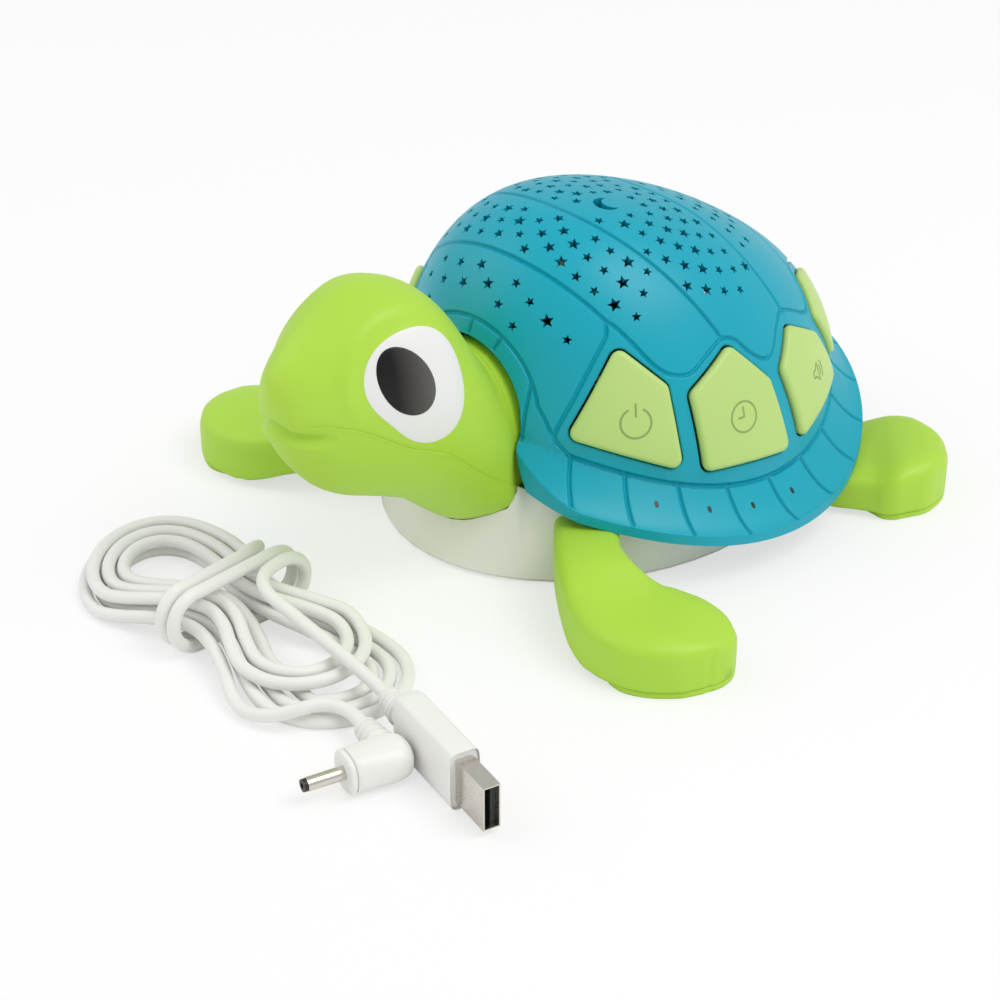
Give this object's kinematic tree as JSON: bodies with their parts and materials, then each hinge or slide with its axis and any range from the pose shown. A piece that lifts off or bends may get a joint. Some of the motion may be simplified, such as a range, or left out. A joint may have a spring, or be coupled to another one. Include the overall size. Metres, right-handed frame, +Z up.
{
  "type": "nursery sound machine",
  "caption": "Turtle-shaped nursery sound machine and star projector with a domed shell of star holes, press buttons round its sides and a tied power cord beside it.",
  "frame": {"origin": "on the floor, under the middle of the body's box, the cord left out", "axes": "+Z up, the head towards -Y, +X towards the turtle's left side"},
  "size_m": [0.198, 0.2431, 0.0907],
  "materials": {
    "shell_teal": "satin teal moulding",
    "button_pale": "soft pale yellow-green moulding",
    "lime": "matte lime moulding",
    "white": "satin white moulding",
    "black": "black moulding",
    "board": "green circuit board",
    "steel": "zinc-plated steel",
    "magnet": "dark magnet",
    "paper": "black paper cone",
    "lamp": "yellowish lamp package",
    "lens": "clear light pipe",
    "eye_white": "satin white",
    "pupil": "gloss black",
    "rubber": "black rubber",
    "cord": "warm white flexible jacket",
    "nickel": "nickel plate"
  },
  "bodies": {
    "body": {"shell": "shell_teal", "indicator_lenses": "lens", "deck": "black", "switch_boards": "board", "tact_switches": "black", "led_board": "white", "leds": "lamp", "base": "white", "feet": "rubber", "base_screws": "steel", "head_screws": "steel", "flipper_screws": "steel", "main_board": "board", "board_parts": "black", "board_screws": "steel", "speaker_frame": "steel", "speaker_cone": "paper", "speaker_magnet": "magnet", "speaker_screws": "steel", "dc_jack": "black", "head_upper": "lime", "head_lower": "lime", "eye_white_left": "eye_white", "eye_white_right": "eye_white", "pupil_left": "pupil", "pupil_right": "pupil", "flipper_front_left": "lime", "flipper_front_right": "lime", "flipper_rear_left": "lime", "flipper_rear_right": "lime", "sole_front_left": "lime", "sole_front_right": "lime", "sole_rear_left": "lime", "sole_rear_right": "lime", "cord_hank": "cord", "dc_plug_body": "cord", "dc_barrel": "nickel", "dc_tip": "black", "usb_plug_body": "cord", "usb_shell": "nickel", "usb_tongue": "black"},
    "left_button_1": {"button_left_1": "button_pale"},
    "left_button_2": {"button_left_2": "button_pale"},
    "left_button_3": {"button_left_3": "button_pale"},
    "left_button_4": {"button_left_4": "button_pale"},
    "right_button_1": {"button_right_1": "button_pale"},
    "right_button_2": {"button_right_2": "button_pale"},
    "right_button_3": {"button_right_3": "button_pale"},
    "right_button_4": {"button_right_4": "button_pale"}
  },
  "joints": [
    {"name": "press_left_1", "type": "slide", "parent": "body", "child": "left_button_1", "axis": [-0.7679, 0.5705, -0.2913], "range_m": [0, 0.0012], "stiffness_N_per_m": 1200},
    {"name": "press_left_2", "type": "slide", "parent": "body", "child": "left_button_2", "axis": [-0.9452, 0.1456, -0.2923], "range_m": [0, 0.0012], "stiffness_N_per_m": 1200},
    {"name": "press_left_3", "type": "slide", "parent": "body", "child": "left_button_3", "axis": [-0.8944, -0.2949, -0.3362], "range_m": [0, 0.0012], "stiffness_N_per_m": 1200},
    {"name": "press_left_4", "type": "slide", "parent": "body", "child": "left_button_4", "axis": [-0.6189, -0.6552, -0.4331], "range_m": [0, 0.0012], "stiffness_N_per_m": 1200},
    {"name": "press_right_1", "type": "slide", "parent": "body", "child": "right_button_1", "axis": [0.7679, 0.5705, -0.2913], "range_m": [0, 0.0012], "stiffness_N_per_m": 1200},
    {"name": "press_right_2", "type": "slide", "parent": "body", "child": "right_button_2", "axis": [0.9452, 0.1456, -0.2923], "range_m": [0, 0.0012], "stiffness_N_per_m": 1200},
    {"name": "press_right_3", "type": "slide", "parent": "body", "child": "right_button_3", "axis": [0.8944, -0.2949, -0.3362], "range_m": [0, 0.0012], "stiffness_N_per_m": 1200},
    {"name": "press_right_4", "type": "slide", "parent": "body", "child": "right_button_4", "axis": [0.6189, -0.6552, -0.4331], "range_m": [0, 0.0012], "stiffness_N_per_m": 1200}
  ]
}
